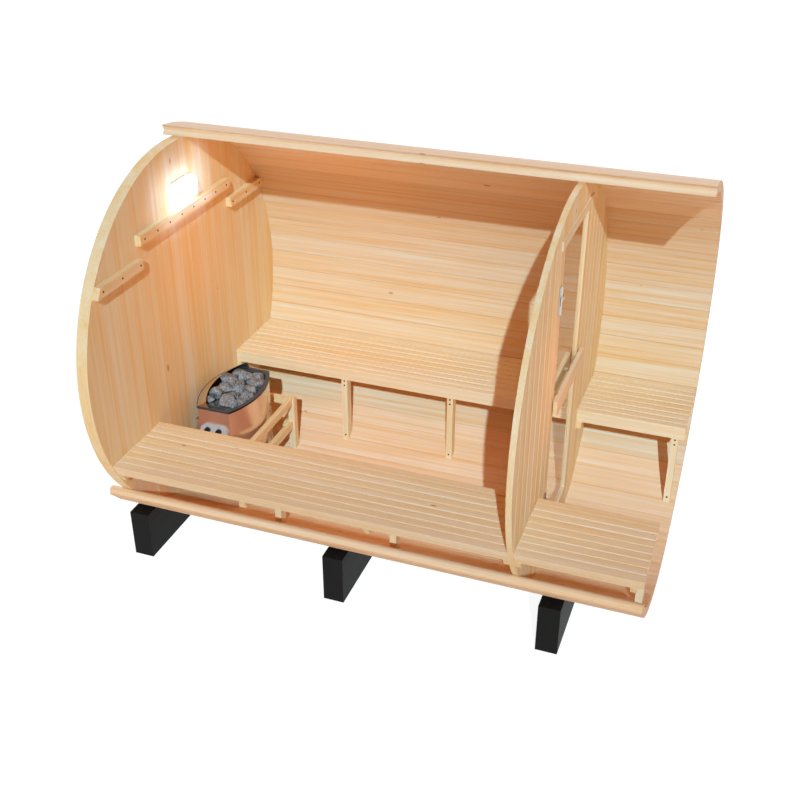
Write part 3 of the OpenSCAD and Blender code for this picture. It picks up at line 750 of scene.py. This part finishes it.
# %% Lamp shade
# White and so bright that its form almost goes under in the light
opal, tree, shader = new_material("opal_plastic_lit")
shader.inputs["Base Color"].default_value = linear("#FFF8EC")
shader.inputs["Roughness"].default_value = 0.35
shader.inputs["Emission Color"].default_value = linear("#BFDFFF")
shader.inputs["Emission Strength"].default_value = 8.0
CORNER_ROUND, FRONT_ROUND = 34 * MM, 12 * MM
shade_low, shade_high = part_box("lamp_shade")
shade_middle = (shade_low + shade_high) / 2
box = Matrix.Translation(shade_middle) @ Matrix.Diagonal((*(shade_high - shade_low), 1))
bm = bmesh.new()
bmesh.ops.create_cube(bm, size=1.0, matrix=box)
corners = [e for e in bm.edges if abs(e.verts[0].co.x - e.verts[1].co.x) > 1 * MM]
bmesh.ops.bevel(bm, geom=corners, offset=CORNER_ROUND, affect="EDGES", segments=10, profile=0.5,
                material=-1)
front = [e for e in bm.edges if all(v.co.x > shade_high.x - 0.1 * MM for v in e.verts)]
bmesh.ops.bevel(bm, geom=front, offset=FRONT_ROUND, affect="EDGES", segments=5, profile=0.5,
                material=-1)
lamp = make_piece(bm, "lamp_opal_shade", opal, smooth=True)
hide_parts("lamp_shade")

# %% [markdown]
# ## Floor
#
# The stage is plain: a floor of white paper under a white sky. The floor adds a little white of its
# own to what the camera sees, so it reads as paper and still keeps the shadow. The light that it
# throws back onto the barrel has a warm tint, as from a wooden studio floor. Rays that reach the
# eye straight, by a mirror or through the glass are told from those that only light a surface, so
# the backdrop can stay white while the light is warm.

# %% White paper
FLOOR_WHITE = 0.93


def seen_directly(tree):
    """1 for rays from the camera, a mirror or the glass, and 0 for rays that light a surface."""
    path = add(tree, "ShaderNodeLightPath")
    seen = add(tree, "ShaderNodeMath", {"operation": "ADD"},
               {0: path.outputs["Is Camera Ray"], 1: path.outputs["Is Glossy Ray"]})
    return add(tree, "ShaderNodeMath", {"operation": "ADD", "use_clamp": True},
               {0: seen.outputs[0], 1: path.outputs["Is Transmission Ray"]}).outputs[0]


paper, tree, shader = new_material("white_floor_paper")
tree.nodes.remove(shader)
seen = seen_directly(tree)
glow = add(tree, "ShaderNodeMath", {"operation": "MULTIPLY", 1: FLOOR_WHITE}, {0: seen})
tone = add(tree, "ShaderNodeMix",
           {"data_type": "RGBA", 6: linear("#F8DABC"), 7: linear("#7C7C7C")}, {0: seen})
matt = add(tree, "ShaderNodeBsdfDiffuse", links={"Color": tone.outputs[2]})
light = add(tree, "ShaderNodeEmission", {"Color": linear("#FBFEFF")}, {"Strength": glow.outputs[0]})
both = add(tree, "ShaderNodeAddShader", links={0: matt.outputs[0], 1: light.outputs[0]})
output = next(n for n in tree.nodes if n.type == "OUTPUT_MATERIAL")
tree.links.new(both.outputs[0], output.inputs["Surface"])
print("paper adds", FLOOR_WHITE, "of white")

# %% Floor
FLOOR_SIZE = 40.0
bm = bmesh.new()
bmesh.ops.create_grid(bm, x_segments=1, y_segments=1, size=FLOOR_SIZE)
mesh = bpy.data.meshes.new("floor")
bm.to_mesh(mesh)
bm.free()
mesh.materials.append(paper)
floor = bpy.data.objects.new("floor", mesh)
bpy.context.scene.collection.objects.link(floor)
print("floor laid")

# %% [markdown]
# ## Light
#
# The photograph has pale sunlit wood and deep orange shadows, more than daylight alone would give.
# A cool sun from behind the camera's shoulder gives the pale side, and wood that bounces light to
# wood warms the rest. Where the bounce isn't enough, small warm lamps hang in the room, under the
# benches and on the porch. They could be one strong lamp, but several weak ones leave no second
# shadow. A broad light from behind serves the views of the back, and two cool spots make the halo
# on the wall round the lit lamp.

# %% A lamp
def add_lamp(name, kind, energy, colour, place, aim):
    """A lamp at a place, aimed at a point, that camera, mirrors and glass don't show."""
    light = bpy.data.objects.new(name, bpy.data.lights.new(name, kind))
    light.data.energy = energy
    light.data.color = linear(colour)[:3]
    light.location = place
    light.rotation_euler = (Vector(aim) - Vector(place)).to_track_quat("-Z", "Y").to_euler()
    light.visible_camera = False
    light.visible_glossy = False
    light.visible_transmission = False
    bpy.context.scene.collection.objects.link(light)
    print(name, energy, colour)
    return light.data


print("lamps can be hung")

# %% Sun
SUN_PLACE, SUN_PATH = Vector((0, 0, 5)), Vector((-0.268, 0.787, -0.557))
sun = add_lamp("sun", "SUN", 3.15, "#C5EDFF", SUN_PLACE, SUN_PLACE + SUN_PATH)
sun.angle = math.radians(0.7)

# %% Warm fills
# Watts, colour and place of each fill
WARM_FILLS = {
    "fill": (4.1, "#FF9600", (-0.5, 0.0, 1.55)),
    "floor_fill": (0.7, "#FF9A50", (-0.1, -0.1, 0.8)),
    "porch_fill": (1.6, "#FF9A48", (1.28, -0.25, 1.35)),
    "rear_bench_fill": (0.4, "#FF7A2A", (-0.85, -0.62, 0.42)),
    "middle_bench_fill": (0.4, "#FF7A2A", (0.1, -0.62, 0.42)),
    "far_bench_fill": (0.3, "#FF9058", (-0.45, 0.48, 0.5)),
    "far_bench_fill_2": (0.3, "#FF9058", (0.3, 0.48, 0.5)),
    "porch_bench_fill": (0.15, "#FF9058", (1.25, 0.48, 0.5)),
}
FILL_R = 0.2
for name, (energy, colour, place) in WARM_FILLS.items():
    fill = add_lamp(name, "POINT", energy, colour, place, (place[0], place[1], 0.0))
    fill.shadow_soft_size = FILL_R

# %% Light from behind
BACK_PATH = Vector((0.3, -0.8, -0.6))
back = add_lamp("back_light", "SUN", 2.0, "#E6F0FF", SUN_PLACE, SUN_PLACE + BACK_PATH)
back.angle = math.radians(20)

# %% Halo of the wall lamp
HALO_APART, HALO_OUT = 0.13, 0.3
for side in (-1, 1):
    beside = shade_middle + Vector((0, side * HALO_APART, 0))
    before = beside + Vector((HALO_OUT, 0, 0))
    halo = add_lamp("lamp_glow", "SPOT", 5.5, "#90C2FF", before, beside)
    halo.spot_size = math.radians(80)
    halo.spot_blend = 1.0
    halo.shadow_soft_size = 0.05

# %% Sky
SKY, SKY_COLOUR = 0.27, "#FF8442"
world = bpy.data.worlds.new("studio")
world.use_nodes = True
bpy.context.scene.world = world
tree = world.node_tree
background = next(n for n in tree.nodes if n.type == "BACKGROUND")
shown = add(tree, "ShaderNodeMix",
            {"data_type": "RGBA", 6: [SKY * c for c in linear(SKY_COLOUR)], 7: linear("#FFFFFF")},
            {0: seen_directly(tree)})
tree.links.new(shown.outputs[2], background.inputs["Color"])
bpy.context.scene.view_settings.view_transform = "Standard"
print("sky", SKY, SKY_COLOUR)
